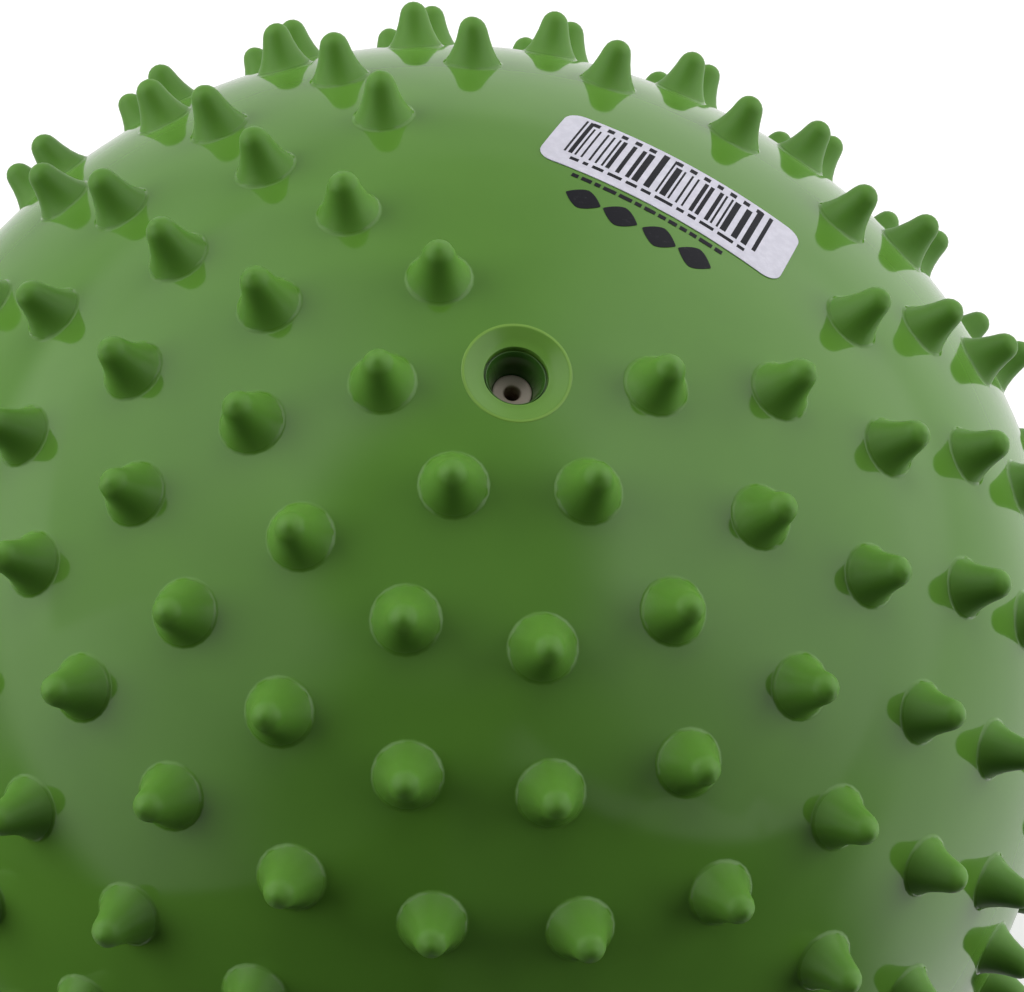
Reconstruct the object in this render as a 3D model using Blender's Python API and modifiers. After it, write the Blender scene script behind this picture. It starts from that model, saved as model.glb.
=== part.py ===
"""Spiky massage ball, inflated through a needle valve.

Five separate pieces: the hollow spiked shell, the valve seat bonded into its one hole,
the push-in valve plug with its needle hole, the rubber needle seal inside the plug, and
the sticker on the skin. The ball's centre is the origin and the valve looks up, along +Z.
Metres throughout.
"""
import math

import bmesh
import bpy
from mathutils import Matrix, Vector

MM = 0.001
UP = Vector((0.0, 0.0, 1.0))
MERGE = 1e-6

# The ball
BODY_RADIUS = 107.1 * MM
SPIKE_HEIGHT = 7.2 * MM
WALL = 1.6 * MM
INNER_RADIUS = BODY_RADIUS - WALL
GAP = 0.3 * MM

# One spike, a blunt cone
SPIKE_SIDES = 6
SPIKE_FOOT_RADIUS = 3.9 * MM
SPIKE_SHOULDER_RADIUS = 1.75 * MM
SPIKE_SHOULDER_DROP = 0.9 * MM

# Rows of spikes from the valve to the equator, every ROW_STEP degrees: the number of
# spikes in the row and the azimuth of its first one. The lower half mirrors the upper.
ROW_STEP = 10.0
ROWS = (
    (6, 0.0),
    (12, 4.6),
    (17, -0.5),
    (21, 3.6),
    (24, 4.4),
    (26, 8.1),
    (28, 4.0),
    (29, 4.0),
    (29, 4.0),
)

# The skin stretches a little unevenly when it is blown up (degrees).
ROW_SHIFT = 2.0
ROW_SHIFT_AZIMUTH = -17.6
TURN_SHIFT = 3.4
TURN_SHIFT_AZIMUTH = 70.0

# The bare patch that carries the sticker and the print
BARE_ROWS = 3
BARE_AZIMUTH = 62.0
BARE_HALF_WIDTH = 36.0

# The sticker
LABEL_LENGTH = 40.0 * MM
LABEL_WIDTH = 15.5 * MM
LABEL_CORNER = 2.6 * MM
LABEL_THICKNESS = 0.25 * MM
LABEL_POLAR = 25.2
LABEL_AZIMUTH = 54.1
LABEL_TURN = 5.9
LABEL_COLUMNS = 14
LABEL_ROWS = 4

# The valve seat, a dished disc with a sleeve and a flange behind the skin
ROUND_STEPS = 24
SEAT_RADIUS = 7.45 * MM
RIM_WIDTH = 0.5 * MM
RIM_PROUD = 0.25 * MM
LAND_OUTER_RADIUS = 5.6 * MM
LAND_INNER_RADIUS = 4.6 * MM
LAND_DEPTH = 1.1 * MM
MOUTH_RADIUS = 4.1 * MM
MOUTH_ROUNDING = 0.5 * MM
BORE_FOOT_RADIUS = 3.15 * MM
SHELF_RADIUS = 2.3 * MM
SLEEVE_RADIUS = 5.2 * MM
SLEEVE_LENGTH = 17.0 * MM
SLEEVE_CHAMFER = 1.0 * MM
FLANGE_RADIUS = 12.5 * MM
FLANGE_THICKNESS = 1.4 * MM
FLANGE_MARGIN = 1.5 * MM
GUIDE_SPACING = 3.0 * MM

# The valve plug
PLUG_FACE_DEPTH = 5.9 * MM
PLUG_HEAD_RADIUS = 2.7 * MM
PLUG_HEAD_HEIGHT = 3.2 * MM
PLUG_SHANK_RADIUS = 2.0 * MM
PLUG_LENGTH = 10.0 * MM
PLUG_EDGE = 0.25 * MM
PLUG_TAPER = 0.15 * MM
NEEDLE_HOLE_RADIUS = 1.15 * MM
FUNNEL_RADIUS = 1.5 * MM
FUNNEL_DEPTH = 0.5 * MM
POCKET_RADIUS = 1.6 * MM
POCKET_LENGTH = 4.6 * MM

# The needle seal in the plug's pocket
SEAL_RADIUS = POCKET_RADIUS - GAP
SEAL_LENGTH = POCKET_LENGTH - 2.0 * GAP
SEAL_CUP_RADIUS = 0.8 * MM
SEAL_CUP_DEPTH = 0.6 * MM
SEAL_STRAIGHT = 2.2 * MM
SEAL_TIP_RADIUS = 0.6 * MM

# Heights on the valve axis
LAND_Z = BODY_RADIUS - LAND_DEPTH
PLUG_FACE_Z = BODY_RADIUS - PLUG_FACE_DEPTH
SHELF_Z = PLUG_FACE_Z - PLUG_HEAD_HEIGHT - GAP
SLEEVE_END_Z = BODY_RADIUS - SLEEVE_LENGTH
HOLE_RADIUS = SEAT_RADIUS + GAP

COLLECTION = "massage_ball"


def clear_scene():
    for item in list(bpy.data.objects):
        bpy.data.objects.remove(item, do_unlink=True)


def height_on(sphere_radius, radius):
    """Height of a sphere's surface at a distance from the valve axis."""
    return math.sqrt(sphere_radius ** 2 - radius ** 2)


def direction(polar, azimuth):
    """Unit vector from a polar angle off the valve and an azimuth, in degrees."""
    tilt = math.radians(polar)
    turn = math.radians(azimuth)
    return Vector((
        math.sin(tilt) * math.cos(turn),
        math.sin(tilt) * math.sin(turn),
        math.cos(tilt),
    ))


def east_and_north(normal):
    """Two unit vectors along the skin at a point: round the valve, and towards it."""
    north = UP - normal * UP.dot(normal)
    if north.length < MERGE:
        north = Vector((0.0, 1.0, 0.0))
    north.normalize()
    return north.cross(normal), north


def stretched(polar, azimuth):
    """Where the inflated skin carries a point of the mould's even pattern."""
    turned = azimuth + TURN_SHIFT * math.sin(math.radians(azimuth - TURN_SHIFT_AZIMUTH))
    lean = math.cos(math.radians(turned - ROW_SHIFT_AZIMUTH)) * math.sin(math.radians(polar))
    return polar + ROW_SHIFT * lean, turned


def spike_sites():
    """Every place in the pattern as (direction, carries a spike)."""
    sites = []
    equator = len(ROWS)
    for row in range(1, 2 * equator):
        count, first = ROWS[equator - abs(row - equator) - 1]
        for step in range(count):
            azimuth = first + step * 360.0 / count
            away = abs((azimuth - BARE_AZIMUTH + 180.0) % 360.0 - 180.0)
            bare = row <= BARE_ROWS and away < BARE_HALF_WIDTH
            sites.append((direction(*stretched(row * ROW_STEP, azimuth)), not bare))
    sites.append((-UP, False))
    return sites


def ring_on(sphere_radius, normal, radius, count):
    """Points of a circle of the given radius that lies on a sphere."""
    east, north = east_and_north(normal)
    centre = normal * height_on(sphere_radius, radius)
    angles = [2.0 * math.pi * step / count for step in range(count)]
    return [centre + (east * math.cos(a) + north * math.sin(a)) * radius for a in angles]


def finish(item, colour, roughness):
    """Link an object into the ball's collection, with its own material."""
    material = bpy.data.materials.new(item.name)
    material.use_nodes = True
    shader = material.node_tree.nodes["Principled BSDF"]
    shader.inputs["Base Color"].default_value = (*colour, 1.0)
    shader.inputs["Roughness"].default_value = roughness
    item.data.materials.append(material)
    bpy.data.collections[COLLECTION].objects.link(item)
    return item


def object_from(name, mesh):
    """Make a smooth-shaded object from a bmesh."""
    data = bpy.data.meshes.new(name)
    mesh.to_mesh(data)
    mesh.free()
    data.shade_smooth()
    return bpy.data.objects.new(name, data)


def turned(name, profile, origin_z, closed):
    """Turn a profile of (radius, height) about the valve axis with a Screw modifier.

    The profile runs down the outer side. A closed one makes a ring, and an open one
    starts and ends on the axis. The object's origin is on the axis at origin_z.
    """
    mesh = bmesh.new()
    verts = [mesh.verts.new((radius, 0.0, height - origin_z)) for radius, height in profile]
    for first, second in zip(verts, verts[1:]):
        mesh.edges.new((first, second))
    if closed:
        mesh.edges.new((verts[-1], verts[0]))
    item = object_from(name, mesh)
    item.location.z = origin_z
    screw = item.modifiers.new("turn", "SCREW")
    screw.axis = "Z"
    screw.steps = ROUND_STEPS
    screw.render_steps = ROUND_STEPS
    screw.use_merge_vertices = True
    screw.merge_threshold = MERGE
    screw.use_smooth_shade = True
    return item


def skin_over(mesh, points):
    """Cover points on a sphere with one skin of triangles. Returns their vertices."""
    verts = [mesh.verts.new(point) for point in points]
    bmesh.ops.convex_hull(mesh, input=verts)
    return verts


def face_inside(mesh, ring):
    """Make one flat face of the skin inside a ring of its vertices."""
    inside = set(ring)
    patch = [face for face in {face for vert in ring for face in vert.link_faces}
             if inside.issuperset(face.verts)]
    return bmesh.ops.dissolve_faces(mesh, faces=patch)["region"][0]


def raise_spike(mesh, foot, normal):
    """Draw one spike out of the skin from the face at its foot."""
    top = bmesh.ops.extrude_discrete_faces(mesh, faces=[foot])["faces"][0]
    shoulder = BODY_RADIUS + SPIKE_HEIGHT - SPIKE_SHOULDER_DROP
    narrowing = SPIKE_SHOULDER_RADIUS / SPIKE_FOOT_RADIUS
    for vert in top.verts:
        outward = vert.co - normal * vert.co.dot(normal)
        vert.co = normal * shoulder + outward * narrowing
    tip = bmesh.ops.poke(mesh, faces=[top])["verts"][0]
    tip.co = normal * (BODY_RADIUS + SPIKE_HEIGHT)


def make_ball_shell():
    """The one-piece hollow skin with its spikes, open only at the valve hole."""
    mesh = bmesh.new()

    # Outside: a skin through the feet of all spikes and the edge of the valve hole
    sites = spike_sites()
    points = ring_on(BODY_RADIUS, UP, HOLE_RADIUS, ROUND_STEPS)
    for normal, _ in sites:
        points += ring_on(BODY_RADIUS, normal, SPIKE_FOOT_RADIUS, SPIKE_SIDES)
    verts = skin_over(mesh, points)
    hole = [face_inside(mesh, verts[:ROUND_STEPS])]
    for index, (normal, spiked) in enumerate(sites):
        if spiked:
            start = ROUND_STEPS + index * SPIKE_SIDES
            raise_spike(mesh, face_inside(mesh, verts[start:start + SPIKE_SIDES]), normal)

    # Inside: an even sphere, with a second ring that keeps it true over the seat's flange
    guide = bmesh.new()
    bmesh.ops.create_icosphere(guide, subdivisions=3, radius=INNER_RADIUS)
    frame_radius = FLANGE_RADIUS + FLANGE_MARGIN
    points = ring_on(INNER_RADIUS, UP, HOLE_RADIUS, ROUND_STEPS)
    points += ring_on(INNER_RADIUS, UP, frame_radius, ROUND_STEPS)
    points += [vert.co.copy() for vert in guide.verts
               if vert.co.z < 0.0 or vert.co.xy.length > frame_radius + GUIDE_SPACING]
    guide.free()
    verts = skin_over(mesh, points)
    hole.append(face_inside(mesh, verts[:ROUND_STEPS]))

    # The wall of the valve hole joins the two
    rims = [edge for face in hole for edge in face.edges]
    bmesh.ops.delete(mesh, geom=hole, context="FACES_ONLY")
    bmesh.ops.bridge_loops(mesh, edges=rims)
    bmesh.ops.recalc_face_normals(mesh, faces=mesh.faces)
    return finish(object_from("ball_shell", mesh), (0.09, 0.29, 0.03), 0.18)


def make_valve_seat():
    """Dished disc, flat land round the mouth, tapered bore, shelf, sleeve and flange."""
    rim_base = height_on(BODY_RADIUS, SEAT_RADIUS)
    rim_top = rim_base + RIM_PROUD
    dish_radius = SEAT_RADIUS - RIM_WIDTH
    dish_middle = 0.5 * (dish_radius + LAND_OUTER_RADIUS)
    dish_z = LAND_Z + 0.45 * (rim_top - LAND_Z)
    flange_top = INNER_RADIUS - 2.0 * GAP
    flange_under = flange_top - FLANGE_THICKNESS
    profile = [
        (SEAT_RADIUS, rim_base),
        (SEAT_RADIUS, height_on(flange_top, SEAT_RADIUS)),
        (FLANGE_RADIUS, height_on(flange_top, FLANGE_RADIUS)),
        (FLANGE_RADIUS, height_on(flange_under, FLANGE_RADIUS)),
        (SLEEVE_RADIUS, height_on(flange_under, SLEEVE_RADIUS)),
        (SLEEVE_RADIUS, SLEEVE_END_Z + SLEEVE_CHAMFER),
        (SLEEVE_RADIUS - SLEEVE_CHAMFER, SLEEVE_END_Z),
        (SHELF_RADIUS, SLEEVE_END_Z),
        (SHELF_RADIUS, SHELF_Z),
        (BORE_FOOT_RADIUS, SHELF_Z),
        (BORE_FOOT_RADIUS, PLUG_FACE_Z + GAP),
        (MOUTH_RADIUS, LAND_Z - MOUTH_ROUNDING),
        (LAND_INNER_RADIUS, LAND_Z),
        (LAND_OUTER_RADIUS, LAND_Z),
        (dish_middle, dish_z),
        (dish_radius, rim_top),
        (SEAT_RADIUS - 0.4 * RIM_WIDTH, rim_top),
    ]
    return finish(turned("valve_seat", profile, LAND_Z, True), (0.12, 0.34, 0.04), 0.3)


def make_valve_plug():
    """Headed plug with a needle hole that opens into a pocket at its lower end."""
    shoulder_z = PLUG_FACE_Z - PLUG_HEAD_HEIGHT
    end_z = PLUG_FACE_Z - PLUG_LENGTH
    pocket_z = end_z + POCKET_LENGTH
    profile = [
        (PLUG_HEAD_RADIUS - PLUG_EDGE, PLUG_FACE_Z),
        (PLUG_HEAD_RADIUS, PLUG_FACE_Z - PLUG_EDGE),
        (PLUG_HEAD_RADIUS, shoulder_z + PLUG_EDGE),
        (PLUG_HEAD_RADIUS - PLUG_EDGE, shoulder_z),
        (PLUG_SHANK_RADIUS, shoulder_z),
        (PLUG_SHANK_RADIUS, end_z + PLUG_EDGE),
        (PLUG_SHANK_RADIUS - PLUG_TAPER, end_z),
        (POCKET_RADIUS, end_z),
        (POCKET_RADIUS, pocket_z),
        (NEEDLE_HOLE_RADIUS, pocket_z),
        (NEEDLE_HOLE_RADIUS, PLUG_FACE_Z - FUNNEL_DEPTH),
        (FUNNEL_RADIUS, PLUG_FACE_Z),
    ]
    return finish(turned("valve_plug", profile, PLUG_FACE_Z, True), (0.72, 0.68, 0.6), 0.4)


def make_needle_seal():
    """Duckbill-shaped rubber core that closes behind the needle."""
    top_z = PLUG_FACE_Z - PLUG_LENGTH + POCKET_LENGTH - GAP
    profile = [
        (0.0, top_z - SEAL_CUP_DEPTH),
        (SEAL_CUP_RADIUS, top_z),
        (SEAL_RADIUS, top_z),
        (SEAL_RADIUS, top_z - SEAL_STRAIGHT),
        (SEAL_TIP_RADIUS, top_z - SEAL_LENGTH),
        (0.0, top_z - SEAL_LENGTH),
    ]
    seal = turned("needle_seal", profile, PLUG_FACE_Z, False)
    return finish(seal, (0.05, 0.045, 0.04), 0.6)


def label_half_width(along):
    """Half the sticker's width at a distance along it, rounded off at the corners."""
    into_corner = max(0.0, abs(along) - (0.5 * LABEL_LENGTH - LABEL_CORNER))
    cut = LABEL_CORNER - math.sqrt(max(0.0, LABEL_CORNER ** 2 - into_corner ** 2))
    return 0.5 * LABEL_WIDTH - cut


def make_product_label():
    """Thin rounded sticker that follows the ball: a shaped grid with Solidify."""
    centre = direction(LABEL_POLAR, LABEL_AZIMUTH)
    east, north = east_and_north(centre)
    turn = Matrix.Rotation(math.radians(LABEL_TURN), 3, centre)
    mesh = bmesh.new()
    bmesh.ops.create_grid(mesh, x_segments=LABEL_COLUMNS, y_segments=LABEL_ROWS, size=1.0)
    for vert in mesh.verts:
        along = 0.5 * LABEL_LENGTH * math.sin(0.5 * math.pi * vert.co.x)
        side = label_half_width(along) * vert.co.y
        offset = turn @ (east * along + north * side)
        angle = offset.length / BODY_RADIUS
        point = centre * math.cos(angle) + offset.normalized() * math.sin(angle)
        vert.co = point * (BODY_RADIUS + GAP)
    item = object_from("product_label", mesh)
    thick = item.modifiers.new("thickness", "SOLIDIFY")
    thick.thickness = LABEL_THICKNESS
    thick.offset = 1.0
    return finish(item, (0.75, 0.75, 0.8), 0.5)


def main():
    clear_scene()
    collection = bpy.data.collections.new(COLLECTION)
    bpy.context.scene.collection.children.link(collection)
    make_ball_shell()
    make_valve_seat()
    make_valve_plug()
    make_needle_seal()
    make_product_label()


main()
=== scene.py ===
"""Looks of a spiked massage ball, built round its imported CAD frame.

The frame's origin is the ball's centre, +Z points out along the valve axis. The skin, the
valve and the sticker are remade here at full detail on the CAD's own dimensions.
"""
import math

import bmesh
import bpy
import numpy as np
from mathutils import Matrix, Vector


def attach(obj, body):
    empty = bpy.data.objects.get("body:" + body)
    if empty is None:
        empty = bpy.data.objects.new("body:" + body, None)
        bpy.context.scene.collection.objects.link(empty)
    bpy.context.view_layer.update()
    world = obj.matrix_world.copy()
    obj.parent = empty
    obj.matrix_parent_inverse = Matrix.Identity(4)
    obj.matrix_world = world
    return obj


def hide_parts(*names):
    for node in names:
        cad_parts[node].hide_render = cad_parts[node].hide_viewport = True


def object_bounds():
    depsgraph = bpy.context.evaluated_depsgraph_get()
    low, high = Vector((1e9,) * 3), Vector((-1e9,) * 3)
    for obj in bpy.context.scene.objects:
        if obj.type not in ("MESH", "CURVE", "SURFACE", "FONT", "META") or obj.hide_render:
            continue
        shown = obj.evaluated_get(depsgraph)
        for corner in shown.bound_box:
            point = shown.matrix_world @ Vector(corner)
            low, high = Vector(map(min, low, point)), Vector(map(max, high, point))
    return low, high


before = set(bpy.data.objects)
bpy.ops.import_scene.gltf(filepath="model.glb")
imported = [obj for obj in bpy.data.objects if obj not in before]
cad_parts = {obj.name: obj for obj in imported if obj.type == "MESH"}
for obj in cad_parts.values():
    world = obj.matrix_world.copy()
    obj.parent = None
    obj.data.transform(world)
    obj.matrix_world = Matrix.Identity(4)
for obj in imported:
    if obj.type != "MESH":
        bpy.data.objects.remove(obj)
cad_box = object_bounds()

MM = 0.001

# ---------------------------------------------------------------- dimensions (as in CAD)
BODY_RADIUS = 107.1 * MM
SPIKE_HEIGHT = 7.2 * MM
WALL = 1.6 * MM

ROW_STEP = 10.0
ROWS = ((6, 0.0), (12, 4.6), (17, -0.5), (21, 3.6), (24, 4.4), (26, 8.1), (28, 4.0),
        (29, 4.0), (29, 4.0))
ROW_SHIFT, ROW_SHIFT_AZIMUTH = 2.0, -17.6
TURN_SHIFT, TURN_SHIFT_AZIMUTH = 3.4, 70.0
BARE_ROWS, BARE_AZIMUTH, BARE_HALF_WIDTH = 3, 62.0, 36.0

LABEL_LENGTH, LABEL_WIDTH, LABEL_CORNER = 40.0 * MM, 15.5 * MM, 2.6 * MM
LABEL_POLAR, LABEL_AZIMUTH, LABEL_TURN = 25.2, 54.1, 5.9

SEAT_RADIUS = 7.45 * MM
PLUG_FACE_Z = BODY_RADIUS - 5.9 * MM

# ---------------------------------------------------------------- fine detail
SPIKE_SIDES = 20
SPIKE_LEAN_MM, SPIKE_SPREAD = 0.16, 0.016    # how much tips wander, and heights differ
LAST_GLOSSY_RING = 3          # rings of a spike above this one are satin
COLLAR_RADIUS = 5.6 * MM      # plain skin round a spike that keeps its mesh even
COLLAR_TWIST = 0.7            # turn from one spike's collar to the next one's, in radians
COLLAR_MARGIN = 1.5 * MM      # kept clear of mesh points outside a collar
SKIN_SPACING = 3.9 * MM       # between the mesh points of the plain skin
INSIDE_SPACING = 9.0 * MM     # the same on the inner skin, which isn't seen
HOLE_STEPS = 80
HOLE_RADIUS = SEAT_RADIUS - 0.03 * MM
HOLE_COLLAR, HOLE_MARGIN, HOLE_MARGIN_INSIDE = 1.0 * MM, 2.6 * MM, 5.0 * MM
HOLE_WALL_DROPS = (0.02, 0.8)                # rings down the wall of the hole, in mm
FLAT_ROUND_VALVE, FLAT_FADE = 8.0 * MM, 14.0 * MM    # where the skin's relief sets in

UP = np.array((0.0, 0.0, 1.0))
rng = np.random.default_rng(9)


# ================================================================ directions on the ball
def direction(polar, azimuth):
    """Unit vector from a polar angle off the valve and an azimuth, in degrees."""
    tilt, turn = math.radians(polar), math.radians(azimuth)
    return np.array((math.sin(tilt) * math.cos(turn), math.sin(tilt) * math.sin(turn),
                     math.cos(tilt)))


def east_and_north(normal):
    """Two unit vectors along the skin at a point: round the valve, and towards it."""
    north = UP - normal * normal[2]
    if np.linalg.norm(north) < 1e-6:
        north = np.array((0.0, 1.0, 0.0))
    north = north / np.linalg.norm(north)
    return np.cross(north, normal), north


def unit(rows):
    return rows / np.linalg.norm(rows, axis=-1, keepdims=True)


def stretched(polar, azimuth):
    """Where the inflated skin carries a point of the mould's even pattern."""
    turned = azimuth + TURN_SHIFT * math.sin(math.radians(azimuth - TURN_SHIFT_AZIMUTH))
    lean = math.cos(math.radians(turned - ROW_SHIFT_AZIMUTH)) * math.sin(math.radians(polar))
    return polar + ROW_SHIFT * lean, turned


def spike_directions():
    """Unit vectors to all spikes, by the same rule as in the CAD."""
    found = []
    equator = len(ROWS)
    for row in range(1, 2 * equator):
        count, first = ROWS[equator - abs(row - equator) - 1]
        for step in range(count):
            azimuth = first + step * 360.0 / count
            away = abs((azimuth - BARE_AZIMUTH + 180.0) % 360.0 - 180.0)
            if row <= BARE_ROWS and away < BARE_HALF_WIDTH:
                continue
            found.append(direction(*stretched(row * ROW_STEP, azimuth)))
    return np.array(found)


SPIKES = spike_directions()

# Slow waves of a blown-up soft skin: (height in mm, wavelength in mm, axis, phase)
WAVES = (
    (0.17, 120.0, (0.8, 0.3, 0.5), 0.4),
    (0.14, 88.0, (-0.4, 0.9, 0.2), 2.1),
    (0.10, 61.0, (0.5, -0.2, -0.8), 4.4),
    (0.08, 47.0, (0.1, 0.8, -0.6), 1.3),
    (0.04, 33.0, (-0.7, -0.5, 0.4), 5.2),
)

# Shallow stretch marks: (polar, azimuth, polar, azimuth, half width mm, height mm)
CREASES = (
    (11.5, 174.0, 27.5, 174.6, 1.1, 0.085),
    (30.6, -80.5, 38.2, -52.5, 1.5, 0.055),
    (31.5, -2.0, 37.5, -21.0, 0.8, -0.06),
)


def relief(points):
    """Height of the skin above the true sphere at unit vectors, in metres."""
    high = np.zeros(len(points))
    for height, length, axis, phase in WAVES:
        along = points @ unit(np.array(axis)) * BODY_RADIUS / (length * MM)
        high += height * MM * np.sin(2.0 * math.pi * along + phase)
    for polar_a, azimuth_a, polar_b, azimuth_b, width, height in CREASES:
        a, b = direction(polar_a, azimuth_a), direction(polar_b, azimuth_b)
        across = unit(np.cross(a, b))
        middle = unit(a + b)
        reach = math.acos(min(1.0, float(a @ b))) / 2.0
        off = points @ across * BODY_RADIUS / (width * MM)
        run = np.arccos(np.clip(points @ middle, -1.0, 1.0)) / reach
        high += height * MM * np.exp(-off ** 2) * np.clip(1.3 - run ** 2, 0.0, 1.0) ** 2
    from_valve = np.arccos(np.clip(points[:, 2], -1.0, 1.0)) * BODY_RADIUS
    flat = np.clip((from_valve - FLAT_ROUND_VALVE) / FLAT_FADE, 0.0, 1.0)
    return high * flat * flat * (3.0 - 2.0 * flat)


def relief_slope(points):
    """Gradient of relief() along the skin at unit vectors."""
    step = 2e-4
    slope = np.zeros_like(points)
    for axis in np.eye(3):
        ahead, behind = unit(points + axis * step), unit(points - axis * step)
        slope += np.outer((relief(ahead) - relief(behind)) / (2.0 * step * BODY_RADIUS), axis)
    return slope - points * np.sum(slope * points, axis=1, keepdims=True)


def laid_on_skin(points, normals):
    """Move points by the skin's relief under them, and tilt their normals with it."""
    away = unit(points)
    moved = points + away * relief(away)[:, None]
    return moved, unit(normals - relief_slope(away))


# ================================================================ profiles
def bezier(start, lead_out, lead_in, end, places):
    """Points of a cubic curve at the given places between 0 and 1."""
    t = np.array(places)[:, None]
    return ((1 - t) ** 3 * np.array(start) + 3 * (1 - t) ** 2 * t * np.array(lead_out)
            + 3 * (1 - t) * t ** 2 * np.array(lead_in) + t ** 3 * np.array(end))


def spike_profile():
    """(distance from the spike's axis, height) from its foot to just under its tip."""
    height = SPIKE_HEIGHT / MM
    tip_radius, cone_angle, foot_angle = 2.26, math.radians(12.5), math.radians(40.0)
    foot, foot_reach, flank_reach = (4.56, 0.11), 1.4, 2.2

    def round_tip(angle):
        return tip_radius * math.cos(angle), height - tip_radius * (1.0 - math.sin(angle))

    shoulder = round_tip(cone_angle)
    lead = (foot[0] - foot_reach * math.cos(foot_angle),
            foot[1] + foot_reach * math.sin(foot_angle))
    rise = (shoulder[0] + flank_reach * math.sin(cone_angle),
            shoulder[1] - flank_reach * math.cos(cone_angle))
    flank = bezier(foot, lead, rise, shoulder, (0.0, 0.07, 0.28, 0.52, 0.76, 1.0))
    fillet = [(4.88, 0.0), (4.72, 0.025)]
    turns = np.linspace(cone_angle, math.pi / 2, 5)[1:-1]
    return np.vstack([fillet, flank, [round_tip(angle) for angle in turns]]) * MM


def rounded(corners):
    """A polyline through (radius, height, rounding, steps) corners, closed."""
    path = []
    count = len(corners)
    for index, (r, z, radius, steps) in enumerate(corners):
        here = np.array((r, z))
        if radius <= 0.0:
            path.append(here)
            continue
        before = np.array(corners[index - 1][:2]) - here
        after = np.array(corners[(index + 1) % count][:2]) - here
        before, after = before / np.linalg.norm(before), after / np.linalg.norm(after)
        half = math.acos(float(np.clip(before @ after, -1.0, 1.0))) / 2.0
        reach = radius / math.tan(half)
        centre = here + unit(before + after) * radius / math.sin(half)
        first, last = here + before * reach - centre, here + after * reach - centre
        spread = math.acos(float(np.clip(first @ last / radius ** 2, -1.0, 1.0)))
        for t in np.linspace(0.0, 1.0, steps):
            path.append(centre + (first * math.sin((1 - t) * spread)
                                  + last * math.sin(t * spread)) / math.sin(spread))
    return np.array(path)


# ================================================================ mesh makers
def mesh_object(name, verts, faces, materials, normals=None, sharp=None, picks=None):
    """An object from plain lists; picks gives each face's material."""
    data = bpy.data.meshes.new(name)
    data.from_pydata([tuple(v) for v in verts], [], faces)
    for material in materials:
        data.materials.append(material)
    data.shade_smooth()
    if picks is not None:
        data.polygons.foreach_set("material_index", picks)
    data.update()
    if sharp is not None:
        data.set_sharp_from_angle(angle=math.radians(sharp))
    if normals is not None:
        data.normals_split_custom_set_from_vertices([tuple(n) for n in normals])
    item = bpy.data.objects.new(name, data)
    bpy.context.scene.collection.objects.link(item)
    return item


def turned(name, profile, steps, materials, sharp=38.0, closed=True):
    """A ring turned from a closed profile that runs down its outer side."""
    angles = np.linspace(0.0, 2.0 * math.pi, steps, endpoint=False)
    count = len(profile)
    verts = [(r * math.cos(a), r * math.sin(a), z) for a in angles for r, z in profile]
    faces = []
    for step in range(steps):
        here, there = step * count, ((step + 1) % steps) * count
        for index in range(count if closed else count - 1):
            after = (index + 1) % count
            faces.append((here + index, here + after, there + after, there + index))
    item = mesh_object(name, verts, faces, materials, sharp=sharp)
    if not closed:
        close_on_axis(item)
    return item


def close_on_axis(item):
    """Weld the points that a profile puts on the axis, at both its ends."""
    mesh = bmesh.new()
    mesh.from_mesh(item.data)
    bmesh.ops.remove_doubles(mesh, verts=mesh.verts, dist=1e-6)
    mesh.to_mesh(item.data)
    mesh.free()


def hull_faces(points):
    """Triangles of the convex skin through points that lie on a sphere, facing out."""
    mesh = bmesh.new()
    verts = [mesh.verts.new(tuple(point)) for point in points]
    mesh.verts.index_update()
    bmesh.ops.convex_hull(mesh, input=verts)
    bmesh.ops.triangulate(mesh, faces=mesh.faces)
    bmesh.ops.recalc_face_normals(mesh, faces=mesh.faces)
    faces = [tuple(vert.index for vert in face.verts) for face in mesh.faces]
    mesh.free()
    return faces


def even_points(spacing, radius):
    """Unit vectors spread evenly over a sphere, about spacing apart."""
    count = int(4.0 * math.pi * radius ** 2 / (0.866 * spacing ** 2))
    index = np.arange(count) + 0.5
    polar = np.arccos(1.0 - 2.0 * index / count)
    turn = math.pi * (1.0 + math.sqrt(5.0)) * index
    return np.stack([np.sin(polar) * np.cos(turn), np.sin(polar) * np.sin(turn),
                     np.cos(polar)], axis=1)


def circle_on(normal, radius, count, phase=0.0):
    """Unit vectors round a point of the ball, at a distance from its axis."""
    east, north = east_and_north(normal)
    angles = np.linspace(0.0, 2.0 * math.pi, count, endpoint=False) + phase
    ring = np.outer(np.cos(angles), east) + np.outer(np.sin(angles), north)
    r = radius / BODY_RADIUS
    return normal * math.sqrt(1.0 - r * r) + ring * r, ring


# ================================================================ the skin
class Skin:
    """The skin's points, their outward slants, and its faces with their materials."""

    def __init__(self, points, faces):
        self.points, self.slants = [points * BODY_RADIUS], [points.copy()]
        self.faces, self.picks = faces, [0] * len(faces)
        self.total = len(points)

    def add(self, points, slants):
        """Add points, and return the number of the first one."""
        first = self.total
        self.points.append(points)
        self.slants.append(slants)
        self.total += len(points)
        return first

    def join(self, below, above, count, pick=0, inward=False):
        """Faces between two rings of count points, given by their first points."""
        for side in range(count):
            after = (side + 1) % count
            if inward:
                face = (below + after, below + side, above + side, above + after)
            else:
                face = (below + side, below + after, above + after, above + side)
            self.faces.append(face)
            self.picks.append(pick)

    def lay(self):
        """Carry the points so far with the skin's relief."""
        points, slants = laid_on_skin(np.vstack(self.points), np.vstack(self.slants))
        self.points, self.slants = [points], [slants]


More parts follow.
